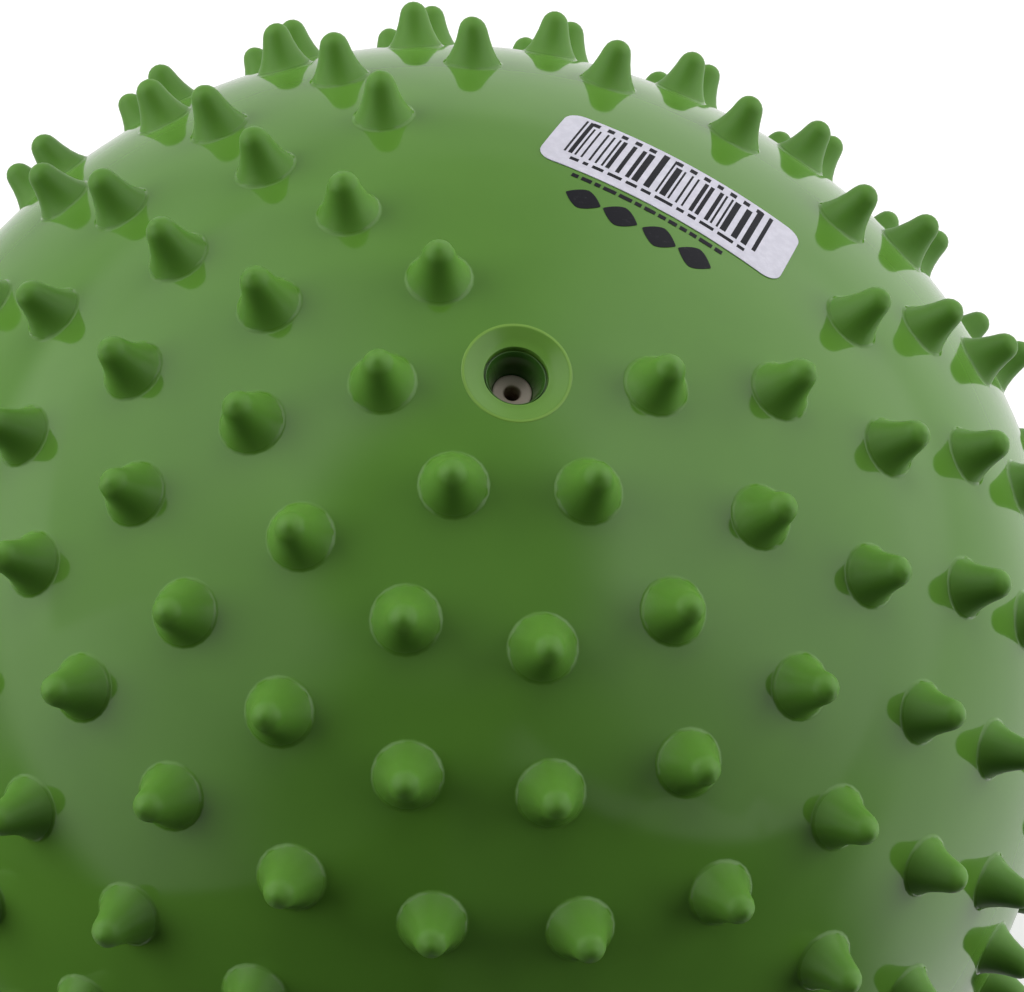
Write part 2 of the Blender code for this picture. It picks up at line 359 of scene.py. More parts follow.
def skin_net():
    """The plain skin: its points, its faces, the first collar's place, the spikes' rings.

    A face with all its corners on one ring would close that ring, so it is left out.
    """
    hole, _ = circle_on(UP, HOLE_RADIUS, HOLE_STEPS)
    hole_collar, _ = circle_on(UP, HOLE_RADIUS + HOLE_COLLAR, HOLE_STEPS // 2)
    collars, outs = zip(*(circle_on(normal, COLLAR_RADIUS, SPIKE_SIDES, COLLAR_TWIST * index)
                          for index, normal in enumerate(SPIKES)))
    filler = even_points(SKIN_SPACING, BODY_RADIUS)
    near = (filler @ SPIKES.T).max(axis=1)
    filler = filler[(near < math.cos((COLLAR_RADIUS + COLLAR_MARGIN) / BODY_RADIUS))
                    & (filler[:, 2] < math.cos((HOLE_RADIUS + HOLE_MARGIN) / BODY_RADIUS))]
    shell = np.vstack([hole, hole_collar, *collars, filler])
    first_collar = len(hole) + len(hole_collar)
    owner = np.full(len(shell), -1)
    owner[:HOLE_STEPS] = len(SPIKES)
    owner[first_collar:first_collar + len(SPIKES) * SPIKE_SIDES] = np.repeat(
        np.arange(len(SPIKES)), SPIKE_SIDES)
    faces = [face for face in hull_faces(shell)
             if owner[face[0]] < 0 or len({owner[corner] for corner in face}) > 1]
    return shell, faces, first_collar, outs


def add_spike(skin, normal, out, below, profile, slopes):
    """Rings of points up one spike's profile, from the collar that starts at below."""
    lean = rng.normal(0.0, SPIKE_LEAN_MM, 2) * MM
    tall = 1.0 + rng.normal(0.0, SPIKE_SPREAD)
    east, north = east_and_north(normal)
    for ring, ((r, h), (dr, dh)) in enumerate(zip(profile, slopes)):
        base = math.sqrt(BODY_RADIUS ** 2 - r ** 2)
        shift = (east * lean[0] + north * lean[1]) * (h / SPIKE_HEIGHT) ** 2
        points = normal * (base + h * tall) + out * r + shift
        rise = dh * tall - dr * r / base
        slants = unit(points) if h <= 0.0 else unit(-normal * dr + out * rise)
        skin.join(below, skin.total, SPIKE_SIDES, int(ring > LAST_GLOSSY_RING))
        below = skin.add(points, slants)
    tip = normal * (BODY_RADIUS + SPIKE_HEIGHT * tall) + east * lean[0] + north * lean[1]
    for side in range(SPIKE_SIDES):
        skin.faces.append((below + side, below + (side + 1) % SPIKE_SIDES, skin.total))
        skin.picks.append(1)
    skin.add(tip[None, :], normal[None, :])


def add_inner_skin(skin):
    """Turn the edge of the valve hole in, down to an inner skin one wall below."""
    inner_radius = BODY_RADIUS - WALL
    _, wheel = circle_on(UP, HOLE_RADIUS, HOLE_STEPS)
    edge_height = math.sqrt(BODY_RADIUS ** 2 - HOLE_RADIUS ** 2)
    below = 0
    for drop in HOLE_WALL_DROPS:
        skin.join(below, skin.total, HOLE_STEPS, inward=True)
        below = skin.add(wheel * HOLE_RADIUS + UP * (edge_height - drop * MM), -wheel)

    inner_hole, _ = circle_on(UP, HOLE_RADIUS * BODY_RADIUS / inner_radius, HOLE_STEPS)
    inside = even_points(INSIDE_SPACING, inner_radius)
    inside = inside[inside[:, 2] < math.cos((HOLE_RADIUS + HOLE_MARGIN_INSIDE) / inner_radius)]
    inside = np.vstack([inner_hole, inside])
    for face in hull_faces(inside):
        if max(face) >= HOLE_STEPS:
            skin.faces.append(tuple(skin.total + corner for corner in reversed(face)))
            skin.picks.append(0)
    skin.join(below, skin.total, HOLE_STEPS, inward=True)
    skin.add(inside * inner_radius, -inside)


def make_skin(smooth, satin):
    shell, faces, first_collar, outs = skin_net()
    skin = Skin(shell, faces)
    profile = spike_profile()
    slopes = np.gradient(profile, axis=0)
    for index, (normal, out) in enumerate(zip(SPIKES, outs)):
        add_spike(skin, normal, out, first_collar + index * SPIKE_SIDES, profile, slopes)
    skin.lay()
    add_inner_skin(skin)
    return mesh_object("skin", np.vstack(skin.points), skin.faces, [smooth, satin],
                       normals=np.vstack(skin.slants), picks=skin.picks)


# ================================================================ the valve
def make_seat(material):
    """The dished ring, the bore and the sleeve behind the skin, one turned piece."""
    top = BODY_RADIUS / MM
    under = top - 2.2
    rim = math.sqrt(BODY_RADIUS ** 2 - SEAT_RADIUS ** 2) / MM
    corners = [
        (7.38, rim - 0.08, 0.0, 1),
        (7.38, under, 0.0, 1),
        (12.4, under - 0.6, 0.2, 3),
        (12.4, under - 2.0, 0.2, 3),
        (5.2, under - 1.5, 0.3, 3),
        (5.2, top - 16.0, 0.0, 1),
        (4.2, top - 17.0, 0.0, 1),
        (2.3, top - 17.0, 0.0, 1),
        (2.3, top - 9.4, 0.0, 1),
        (2.78, top - 9.4, 0.0, 1),
        (2.78, top - 5.8, 0.3, 3),
        (3.70, top - 2.6, 1.2, 4),
        (3.98, top - 1.74, 0.10, 3),
        (4.10, top - 1.72, 0.03, 3),
        (4.12, top - 2.20, 0.0, 1),
        (4.38, top - 2.20, 0.0, 1),
        (4.42, top - 1.14, 0.07, 4),
        (5.2, top - 1.00, 4.2, 6),
        (6.98, top - 0.22, 0.22, 5),
        (7.14, rim + 0.07, 0.06, 3),
        (7.44, rim + 0.06, 0.09, 4),
        (7.56, rim - 0.05, 0.0, 1),
    ]
    profile = rounded([(r * MM, z * MM, fillet * MM, steps)
                       for r, z, fillet, steps in corners])
    return turned("seat", profile, 96, [material])


def make_plug(material):
    """The off-white insert with its needle hole, and the seal's pocket below."""
    face, end = PLUG_FACE_Z / MM, PLUG_FACE_Z / MM - 10.0
    corners = [
        (2.7, face - 0.02, 0.12, 4), (2.7, face - 3.2, 0.25, 3), (2.0, face - 3.2, 0.0, 1),
        (2.0, end + 0.3, 0.0, 1), (1.85, end, 0.0, 1), (1.6, end, 0.0, 1),
        (1.6, end + 4.6, 0.0, 1), (1.05, end + 4.6, 0.0, 1), (1.05, face - 0.62, 0.10, 3),
        (1.20, face - 0.26, 0.10, 3), (2.35, face, 0.20, 3),
    ]
    profile = rounded([(r * MM, z * MM, fillet * MM, steps)
                       for r, z, fillet, steps in corners])
    return turned("plug", profile, 64, [material])


def make_seal(material):
    """The rubber core in the plug's pocket, dimpled on top."""
    top = PLUG_FACE_Z / MM - 5.7
    profile = np.array([(0.0, top - 4.0), (0.45, top - 4.0), (0.6, top - 3.9),
                        (1.25, top - 2.3), (1.3, top - 2.1), (1.3, top - 0.15),
                        (1.18, top), (0.85, top), (0.74, top - 0.08), (0.3, top - 0.52),
                        (0.0, top - 0.6)])[::-1] * MM
    return turned("seal", profile, 48, [material], closed=False)


# ================================================================ the sticker and the print
LABEL_CENTRE = direction(LABEL_POLAR, LABEL_AZIMUTH)
LABEL_EAST, LABEL_NORTH = east_and_north(LABEL_CENTRE)
LABEL_COS, LABEL_SIN = math.cos(math.radians(LABEL_TURN)), math.sin(math.radians(LABEL_TURN))
LABEL_ALONG = LABEL_EAST * LABEL_COS + LABEL_NORTH * LABEL_SIN
LABEL_ACROSS = LABEL_NORTH * LABEL_COS - LABEL_EAST * LABEL_SIN
INK_THICKNESS = 0.03 * MM
INK_LIFT_MM, INK_LIFT_ON_STICKER_MM = 0.012, 0.115    # above the skin, clear of the sheet


def on_label(along, across):
    """Unit vectors of the ball at distances along and across from the sticker's middle."""
    offset = np.outer(along, LABEL_ALONG) + np.outer(across, LABEL_ACROSS)
    length = np.linalg.norm(offset, axis=1, keepdims=True)
    angle = length / BODY_RADIUS
    return LABEL_CENTRE * np.cos(angle) + offset / np.maximum(length, 1e-9) * np.sin(angle)


def patch(name, columns, rows, edge, lift, thick, materials, pick):
    """A thin closed sheet that follows the skin: a grid of columns and rows.

    edge(along, side) gives where a row runs, pick(column, row) the material of a cell.
    """
    grid = [(a, edge(a, b)) for a in columns for b in rows]
    away = on_label([g[0] for g in grid], [g[1] for g in grid])
    high = relief(away)[:, None]
    top = away * (BODY_RADIUS + lift + thick + high)
    low = away * (BODY_RADIUS + lift + high)
    n, m = len(columns), len(rows)
    faces, picks = [], []
    for i in range(n - 1):
        for j in range(m - 1):
            a, b, c, d = i * m + j, (i + 1) * m + j, (i + 1) * m + j + 1, i * m + j + 1
            faces.append((a, b, c, d))
            picks.append(pick(i, j))
            faces.append((d + n * m, c + n * m, b + n * m, a + n * m))
            picks.append(0)
    rim = ([i * m for i in range(n)] + [(n - 1) * m + j for j in range(1, m)]
           + [i * m + m - 1 for i in range(n - 2, -1, -1)] + [j for j in range(m - 2, 0, -1)])
    for here, after in zip(rim, rim[1:] + rim[:1]):
        faces.append((after, here, here + n * m, after + n * m))
        picks.append(0)
    return mesh_object(name, np.vstack([top, low]), faces, materials, sharp=50.0, picks=picks)


def label_half_width(along):
    """Half of the sticker's width at a distance along it, less in its round corners."""
    into_corner = max(0.0, abs(along) - (0.5 * LABEL_LENGTH - LABEL_CORNER))
    cut = LABEL_CORNER - math.sqrt(max(0.0, LABEL_CORNER ** 2 - into_corner ** 2))
    return 0.5 * LABEL_WIDTH - cut


def make_label(film, ink):
    """The sticker: a rounded sheet with a block of plain bars printed on it."""
    half = 0.5 * LABEL_LENGTH / MM
    bars_from, bars_to = -15.0, 17.0
    cuts, inked = [], []
    place = bars_from
    draw = np.random.default_rng(4)
    while place < bars_to:
        wide = float(draw.choice((0.32, 0.34, 0.66, 1.0)))
        gap = float(draw.choice((0.34, 0.36, 0.66, 0.95)))
        cuts += [place, place + wide]
        inked.append((place, place + wide))
        place += wide + gap
    corner = [half - LABEL_CORNER / MM * (1.0 - math.sin(a))
              for a in np.linspace(0.0, math.pi / 2, 7)]
    columns = sorted({round(v, 4) for v in cuts + corner + [-c for c in corner]
                      + list(np.arange(-18.0, 18.1, 1.5))})
    rows = [-1.0, -0.88, -0.78, -0.66, -0.36, -0.1, 0.1, 0.3, 0.54, 0.72, 0.88, 1.0]
    guards = {inked[k] for k in (0, 1, len(inked) // 2, len(inked) // 2 + 1, -2, -1)}
    full = 0.5 * LABEL_WIDTH

    def edge(along, side):
        return label_half_width(along) * side if abs(side) > 0.75 else full * side * min(
            1.0, label_half_width(along) / (0.75 * full))

    def pick(column, row):
        middle = 0.5 * (columns[column] + columns[column + 1])
        bar = next((span for span in inked if span[0] < middle < span[1]), None)
        low, high = rows[row], rows[row + 1]
        outer = -0.89 if bar in guards else -0.67
        return 1 if bar and low >= outer and high <= 0.55 else 0

    return patch("sticker", [c * MM for c in columns], rows, edge, 0.02 * MM, 0.11 * MM,
                 [film, ink], pick)


def even_cuts(start, end, longest=0.8):
    """Places from start to end that lie no further apart than longest."""
    return np.linspace(start, end, max(2, int(abs(end - start) / longest) + 2))


def strip(name, along_from, along_to, across_from, across_to, material, lift=INK_LIFT_MM):
    """A printed bar that follows the skin; its places are in mm on the sticker's axes."""
    return patch(name, even_cuts(along_from, along_to) * MM,
                 even_cuts(across_from, across_to) * MM, lambda along, side: side,
                 lift * MM, INK_THICKNESS, [material], lambda column, row: 0)


def joined(name, items):
    """One object from several meshes with the same material."""
    mesh = bmesh.new()
    for item in items:
        mesh.from_mesh(item.data)
    data = bpy.data.meshes.new(name)
    mesh.to_mesh(data)
    mesh.free()
    data.materials.append(items[0].data.materials[0])
    for item in items:
        bpy.data.objects.remove(item, do_unlink=True)
    result = bpy.data.objects.new(name, data)
    bpy.context.scene.collection.objects.link(result)
    return result


def lozenge(name, along, across, half_length, half_width, material):
    """A printed diamond on the skin, with slightly bulging sides and blunt ends."""
    columns = np.linspace(along - half_length, along + half_length, 13) * MM
    end_width, bulge = 0.12, 1.6

    def edge(place, side):
        share = 1.0 - (abs(place / MM - along) / half_length) ** bulge
        return (across + side * (end_width + (half_width - end_width) * share)) * MM

    return patch(name, columns, (-1.0, -0.5, 0.0, 0.5, 1.0), edge, INK_LIFT_MM * MM,
                 INK_THICKNESS, [material], lambda column, row: 0)


def make_print(ink):
    """Plain printed marks on the skin between the sticker and the valve."""
    bits = [lozenge(f"mark_{index}", along, 13.5, 2.7, 2.3, ink)
            for index, along in enumerate((10.1, 4.2, -2.1, -8.0))]
    draw = np.random.default_rng(12)
    place = -11.0
    while place < 13.6:
        wide = float(draw.uniform(0.9, 2.2))
        bits.append(strip(f"dash_{len(bits)}", place, place + wide, 8.65, 9.5, ink))
        place += wide + 0.5
    return joined("print", bits)


def make_sticker_dashes(ink):
    """Rows of plain dashes along both long edges of the sticker."""
    bits = []
    draw = np.random.default_rng(21)
    for place, end, low, high, gap, least, most in (
            (-13.2, 15.2, -6.95, -5.8, 1.25, 0.95, 1.15),
            (-13.5, 15.5, 5.0, 5.8, 0.7, 0.8, 3.0)):
        while place < end:
            wide = float(draw.uniform(least, most))
            bits.append(strip(f"dash_{len(bits)}", place, place + wide, low, high, ink,
                              INK_LIFT_ON_STICKER_MM))
            place += wide + gap
    return joined("sticker_dashes", bits)


# ================================================================ materials
SKIN_GREEN, SKIN_DARK = (0.092, 0.224, 0.028), (0.082, 0.205, 0.025)
SEAT_GREEN, SEAT_DARK = (0.12, 0.26, 0.035), (0.10, 0.235, 0.030)
# Painted shade for the valve's groove and bore, and a painted highlight for the seat's thin rim
BORE_SHADE_GREEN, RIM_HIGHLIGHT_GREEN = (0.014, 0.055, 0.010, 1.0), (0.20, 0.37, 0.055, 1.0)
SPECK_COLOUR = (0.010, 0.018, 0.006, 1.0)


class Nodes:
    """Short hand for building a node tree."""

    def __init__(self, tree):
        self.tree = tree
        tree.nodes.clear()

    def add(self, kind, **settings):
        node = self.tree.nodes.new(kind)
        for key, value in settings.items():
            setattr(node, key, value)
        return node

    def link(self, start, end):
        self.tree.links.new(start, end)

    def put(self, socket, value):
        """Link a socket to the input, or set the input to a plain value."""
        if isinstance(value, bpy.types.NodeSocket):
            self.link(value, socket)
        else:
            socket.default_value = value

    def math(self, operation, *values):
        node = self.add("ShaderNodeMath", operation=operation)
        for socket, value in zip(node.inputs, values):
            self.put(socket, value)
        return node.outputs[0]

    def noise(self, vector, scale, detail=3.0, roughness=0.5, dimensions="3D"):
        node = self.add("ShaderNodeTexNoise", noise_dimensions=dimensions)
        self.put(node.inputs["Vector"], vector)
        node.inputs["Scale"].default_value = scale
        node.inputs["Detail"].default_value = detail
        node.inputs["Roughness"].default_value = roughness
        return node.outputs["Fac"]

    def span(self, value, a, b, c, d, smooth=True):
        """Carry a value from between a and b to between c and d, and hold it there."""
        node = self.add("ShaderNodeMapRange",
                        interpolation_type="SMOOTHSTEP" if smooth else "LINEAR")
        self.put(node.inputs["Value"], value)
        for name, number in zip(("From Min", "From Max", "To Min", "To Max"), (a, b, c, d)):
            self.put(node.inputs[name], number)
        return node.outputs["Result"]

    def mix(self, factor, first, second):
        node = self.add("ShaderNodeMix", data_type="RGBA")
        self.put(node.inputs[0], factor)
        self.put(node.inputs[6], first)
        self.put(node.inputs[7], second)
        return node.outputs[2]

    def bump(self, height, distance, strength=1.0, normal=None):
        node = self.add("ShaderNodeBump")
        node.inputs["Strength"].default_value = strength
        node.inputs["Distance"].default_value = distance
        self.put(node.inputs["Height"], height)
        if normal is not None:
            self.link(normal, node.inputs["Normal"])
        return node.outputs["Normal"]


def new_material(name):
    """A material, its node maker, its shader and the point being shaded."""
    material = bpy.data.materials.new(name)
    material.use_nodes = True
    nodes = Nodes(material.node_tree)
    shader = nodes.add("ShaderNodeBsdfPrincipled")
    output = nodes.add("ShaderNodeOutputMaterial")
    nodes.link(shader.outputs[0], output.inputs["Surface"])
    place = nodes.add("ShaderNodeTexCoord").outputs["Object"]
    return material, nodes, shader, place


def pvc_material(name, colour, dark, gloss, grain_strength, bore=False):
    """Soft PVC, a little uneven in colour; gloss is its (lowest, highest) roughness."""
    material, nodes, shader, place = new_material(name)
    cloud = nodes.noise(place, 28.0, 4.0, 0.55)
    fine = nodes.noise(place, 900.0, 3.0, 0.6)
    tone = nodes.span(cloud, 0.3, 0.7, 0.0, 1.0)
    base = nodes.mix(tone, (*dark, 1.0), (*colour, 1.0))

    # Rare dark specks moulded into the skin
    specks = nodes.add("ShaderNodeTexVoronoi", feature="F1")
    nodes.link(place, specks.inputs["Vector"])
    specks.inputs["Scale"].default_value = 85.0
    spot = nodes.span(specks.outputs["Distance"], 0.022, 0.045, 1.0, 0.0)
    chance = nodes.add("ShaderNodeSeparateColor")
    nodes.link(specks.outputs["Color"], chance.inputs[0])
    some = nodes.span(chance.outputs[0], 0.93, 0.94, 0.0, 1.0, smooth=False)
    spot = nodes.math("MULTIPLY", spot, some)
    spot_share = nodes.math("MULTIPLY", spot, 0.75)
    base = nodes.mix(spot_share, base, SPECK_COLOUR)
    if bore:
        # Painted shade: darker green down the groove and the bore
        inside = nodes.span(from_axis(nodes, place), 3.9 * MM, 4.43 * MM, 0.8, 0.0)
        base = nodes.mix(inside, base, BORE_SHADE_GREEN)
        # Painted highlight: paler green on the thin rim
        rim = nodes.span(from_axis(nodes, place), 7.05 * MM, 7.2 * MM, 0.0, 0.6)
        base = nodes.mix(rim, base, RIM_HIGHLIGHT_GREEN)
    nodes.link(base, shader.inputs["Base Color"])

    rough = nodes.span(nodes.noise(place, 60.0, 3.0, 0.6), 0.3, 0.75, *gloss)
    nodes.link(rough, shader.inputs["Roughness"])
    normal = nodes.bump(fine, 0.012 * MM, grain_strength)
    normal = nodes.bump(nodes.noise(place, 330.0, 2.0, 0.5), 0.004 * MM, 0.5, normal)
    normal = nodes.bump(spot, -0.05 * MM, 0.6, normal)
    nodes.link(normal, shader.inputs["Normal"])
    shader.inputs["IOR"].default_value = 1.5
    return material


def spike_material():
    """The skin's PVC with the mould's satin grain; its thick parts pass some light."""
    material = pvc_material("ball_spikes", SKIN_GREEN, SKIN_DARK, (0.40, 0.47), 0.5)
    shader = next(node for node in material.node_tree.nodes if node.type == "BSDF_PRINCIPLED")
    shader.inputs["Specular IOR Level"].default_value = 0.38
    shader.inputs["Subsurface Weight"].default_value = 0.35
    shader.inputs["Subsurface Radius"].default_value = (0.6, 1.0, 0.3)
    shader.inputs["Subsurface Scale"].default_value = 1.6 * MM
    return material


def from_axis(nodes, place):
    """Distance from the valve's axis."""
    flat = nodes.add("ShaderNodeVectorMath", operation="MULTIPLY")
    nodes.link(place, flat.inputs[0])
    flat.inputs[1].default_value = (1.0, 1.0, 0.0)
    length = nodes.add("ShaderNodeVectorMath", operation="LENGTH")
    nodes.link(flat.outputs[0], length.inputs[0])
    return length.outputs["Value"]


def plug_material():
    """Off-white polyethylene, turning blotchily darker brown towards the needle hole."""
    material, nodes, shader, place = new_material("plug_plastic")
    # Darker brown towards the needle hole, in blotches
    darker_near_hole = nodes.span(from_axis(nodes, place), 1.05 * MM, 1.45 * MM, 1.0, 0.0)
    blotch = nodes.noise(place, 900.0, 4.0, 0.6)
    darker_near_hole = nodes.math("MULTIPLY", darker_near_hole, nodes.span(blotch, 0.3, 0.7, 0.2, 0.9))
    base = nodes.mix(darker_near_hole, (0.50, 0.42, 0.35, 1.0), (0.16, 0.08, 0.05, 1.0))
    nodes.link(base, shader.inputs["Base Color"])
    nodes.link(nodes.span(blotch, 0.3, 0.7, 0.32, 0.52), shader.inputs["Roughness"])
    nodes.link(nodes.bump(blotch, 0.02 * MM, 0.5), shader.inputs["Normal"])
    return material


def rubber_material():
    """Dark rubber with some dust on it."""
    material, nodes, shader, place = new_material("seal_rubber")
    dust = nodes.noise(place, 1500.0, 4.0, 0.65)
    base = nodes.mix(nodes.span(dust, 0.4, 0.8, 0.0, 1.0), (0.030, 0.018, 0.012, 1.0),
                     (0.075, 0.055, 0.042, 1.0))
    nodes.link(base, shader.inputs["Base Color"])
    nodes.link(nodes.span(dust, 0.3, 0.7, 0.55, 0.75), shader.inputs["Roughness"])
    nodes.link(nodes.bump(dust, 0.02 * MM, 0.6), shader.inputs["Normal"])
    return material


def film_material():
    """Coated white sticker film with a faint lavender cast and paper mottle."""
    material, nodes, shader, place = new_material("label_film")
    fibre = nodes.noise(place, 700.0, 5.0, 0.65)
    slow = nodes.noise(place, 90.0, 2.0, 0.5)
    base = nodes.mix(nodes.span(fibre, 0.35, 0.7, 0.0, 1.0), (0.57, 0.56, 0.64, 1.0),
                     (0.66, 0.65, 0.73, 1.0))
    base = nodes.mix(nodes.span(slow, 0.4, 0.8, 0.0, 0.25), base, (0.52, 0.51, 0.58, 1.0))
    nodes.link(base, shader.inputs["Base Color"])
    nodes.link(nodes.span(fibre, 0.3, 0.7, 0.38, 0.5), shader.inputs["Roughness"])
    nodes.link(nodes.bump(fibre, 0.006 * MM, 0.6), shader.inputs["Normal"])
    return material


def ink_material(name, shine):
    """Black print, a little thin in places."""
    material, nodes, shader, place = new_material(name)
    thin = nodes.noise(place, 1300.0, 4.0, 0.7)
    base = nodes.mix(nodes.span(thin, 0.55, 0.85, 0.0, 1.0), (0.009, 0.009, 0.012, 1.0),
                     (0.04, 0.04, 0.045, 1.0))
    nodes.link(base, shader.inputs["Base Color"])
    nodes.link(nodes.span(thin, 0.3, 0.7, shine, shine + 0.12), shader.inputs["Roughness"])
    nodes.link(nodes.bump(thin, 0.004 * MM, 0.5), shader.inputs["Normal"])
    shader.inputs["Specular IOR Level"].default_value = 0.12
    return material


def floor_material():
    """Pale paper, lit up for the camera; its far part is left out of reflections."""
    material, nodes, shader, place = new_material("floor_paper")
    mottle = nodes.noise(place, 6.0, 4.0, 0.55)
    base = nodes.mix(nodes.span(mottle, 0.3, 0.7, 0.0, 1.0), (0.86, 0.855, 0.855, 1.0),
                     (0.89, 0.885, 0.885, 1.0))
    shader.inputs["Roughness"].default_value = 0.7
    rays = nodes.add("ShaderNodeLightPath")
    dim = nodes.math("MULTIPLY", rays.outputs["Is Diffuse Ray"], FLOOR_DIM_ON_MATTE)
    nodes.link(nodes.mix(dim, base, (0.0, 0.0, 0.0, 1.0)), shader.inputs["Base Color"])
    nodes.link(base, shader.inputs["Emission Color"])
    far = nodes.add("ShaderNodeVectorMath", operation="LENGTH")
    nodes.link(place, far.inputs[0])
    glow = nodes.span(far.outputs["Value"], *GLOW_REACH, NEAR_GLOW, FAR_GLOW)
    nodes.link(nodes.math("MULTIPLY", rays.outputs["Is Camera Ray"], glow),
               shader.inputs["Emission Strength"])
    fade = nodes.span(far.outputs["Value"], *MIRRORED_REACH, 0.0, 1.0)
    fade = nodes.math("MULTIPLY", fade, rays.outputs["Is Glossy Ray"])
    clear = nodes.add("ShaderNodeBsdfTransparent")
    both = nodes.add("ShaderNodeMixShader")
    nodes.link(fade, both.inputs[0])
    nodes.link(shader.outputs[0], both.inputs[1])
    nodes.link(clear.outputs[0], both.inputs[2])
    output = next(node for node in nodes.tree.nodes if node.type == "OUTPUT_MATERIAL")
    nodes.link(both.outputs[0], output.inputs["Surface"])
    return material


# ================================================================ studio
# Brightness of the studio's walls, by azimuth from the frame's +X, low down and higher up:
# set from what the skin mirrors in the photograph
LOW_WALLS = (
    (-180, 1.5), (-165, 1.3), (-152, 0.95), (-143, 0.8), (-134, 0.55), (-126, 0.3),
    (-117, 0.04),
    (-50, 0.04), (-36, 0.12), (-22, 0.7), (-8, 1.45), (12, 1.75), (42, 1.7), (62, 0.95),
    (80, 0.6), (112, 0.65), (124, 1.05), (136, 1.25), (147, 1.65), (168, 1.7), (180, 1.5),
)
HIGH_WALLS = (
    (-180, 0.95), (-152, 0.85), (-140, 0.45), (-128, 0.04), (-80, 0.04), (-69, 0.12),
    (-54, 0.26), (-44, 0.6), (-28, 0.8), (-14, 1.55), (30, 1.65), (54, 1.35), (66, 1.0),
    (77, 0.5), (92, 0.5), (106, 0.8), (118, 1.1), (136, 1.5), (156, 1.4), (168, 1.05), (180, 0.95),
)
# Heights here are sines of the elevation, and azimuths are in degrees. The higher walls
# take over at a level step on the left, and at one that falls off on the right.
LEFT_FROM = -95.0
LEFT_STEP, LEFT_SOFTNESS = 0.43, 0.20
RIGHT_STEP, RIGHT_FALL, RIGHT_SOFTNESS = 0.515, 0.65, 0.025
FALL_FROM, FALL_MIDDLE, FALL_TO = -75.0, -55.0, -30.0
# A brighter band just over the step on the right
BAND_BRIGHTNESS, BAND_HEIGHTS = 0.32, (0.05, 0.11)
BAND_START, BAND_END = (-86.0, -74.0), (-40.0, -30.0)
# The roof, tilted a little
TOP_MIDDLE, TOP_TILT, TOP_AZIMUTH, TOP_SOFTNESS = 0.908, 0.028, 20.0, 0.05
OVERHEAD = 0.22
# The ground, less bright at the back left and nearly dark in front
GROUND, GROUND_DIP, GROUND_AZIMUTH, GROUND_MOST = 1.15, 0.53, 150.0, 1.12
FRONT_AZIMUTH, FRONT_EDGE, FRONT_BRIGHTNESS = -100.0, (0.22, 0.50), 0.04
HORIZON = (-0.06, 0.08)
# The slanting lower edge of the left wall
EDGE_HEIGHT, EDGE_SLOPE, EDGE_AZIMUTH = -0.017, 0.95, -145.0
EDGE_SOFTNESS, EDGE_BRIGHTNESS = 0.02, 0.06
SEEN_BACKGROUND = 1.0
WORLD_ON_MATTE = 0.06        # share of the walls' light that reaches matte surfaces
FLOOR_DIM_ON_MATTE = 0.65    # how much less light the floor sends to matte surfaces
# The floor's glow for the camera, from near the ball to far off, and the radii between
# which it leaves the reflections, in metres
NEAR_GLOW, FAR_GLOW, GLOW_REACH = 0.30, 0.95, (0.25, 1.3)
MIRRORED_REACH = (0.12, 0.36)
FLOOR_RADIUS, FLOOR_GAP = 19.0, 0.2 * MM
CAMERA_PLACE = (-0.0361, -0.1345, 0.3559)
CAMERA_AHEAD, CAMERA_UP = (0.1244, 0.4197, -0.8991), (-0.0004, 0.9062, 0.4229)
LENS = 74.83
LAMP_DISTANCE = 1.3


def wall_ramp(nodes, turn, walls):
    """Brightness of one row of walls; turn goes from 0 to 1 round the room."""
    peak = max(value for _, value in walls)
    ramp = nodes.add("ShaderNodeValToRGB")
    ramp.color_ramp.interpolation = "B_SPLINE"
    stops = ramp.color_ramp.elements
    while len(stops) > 1:
        stops.remove(stops[-1])
    for index, (angle, value) in enumerate(walls):
        stop = stops[0] if index == 0 else stops.new((angle + 180.0) / 360.0)
        stop.position = (angle + 180.0) / 360.0
        stop.color = (value / peak,) * 3 + (1.0,)
    nodes.link(turn, ramp.inputs[0])
    return nodes.math("MULTIPLY", ramp.outputs[0], peak)


def blended(nodes, share, first, second):
    """first where share is 0, second where it is 1."""
    return nodes.math("ADD", nodes.math("MULTIPLY", first, nodes.math("SUBTRACT", 1.0, share)),
                      nodes.math("MULTIPLY", second, share))


def swing_from(nodes, azimuth, degrees):
    """1 towards an azimuth, -1 away from it."""
    return nodes.math("COSINE", nodes.math("SUBTRACT", azimuth, math.radians(degrees)))


def sector(nodes, azimuth, edge, before, after):
    """before on one side of an edge given as two azimuths, after on the other."""
    start, end = map(math.radians, edge)
    return nodes.span(azimuth, start, end, before, after)


def walls_light(nodes, azimuth, high, on_left):
    """The two rows of walls, with the bright band over the step on the right."""
    turn = nodes.span(azimuth, -math.pi, math.pi, 0.0, 1.0, smooth=False)
    held = nodes.math("MINIMUM", nodes.math("MAXIMUM", azimuth, math.radians(FALL_FROM)),
                      math.radians(FALL_TO))
    fall = nodes.math("MULTIPLY", nodes.math("ADD", held, math.radians(-FALL_MIDDLE)),
                      RIGHT_FALL)
    above = nodes.math("SUBTRACT", high, nodes.math("SUBTRACT", RIGHT_STEP, fall))
    right_share = nodes.span(above, -RIGHT_SOFTNESS, RIGHT_SOFTNESS, 0.0, 1.0)
    left_share = nodes.span(high, LEFT_STEP - LEFT_SOFTNESS, LEFT_STEP + LEFT_SOFTNESS,
                            0.0, 1.0)
    share = blended(nodes, on_left, right_share, left_share)
    walls = blended(nodes, share, wall_ramp(nodes, turn, LOW_WALLS),
                    wall_ramp(nodes, turn, HIGH_WALLS))
    band = nodes.span(above, *BAND_HEIGHTS, BAND_BRIGHTNESS, 0.0)
    for part in (right_share, sector(nodes, azimuth, BAND_END, 1.0, 0.0),
                 nodes.math("SUBTRACT", 1.0, on_left),
                 sector(nodes, azimuth, BAND_START, 0.0, 1.0)):
        band = nodes.math("MULTIPLY", band, part)
    return nodes.math("ADD", walls, band)


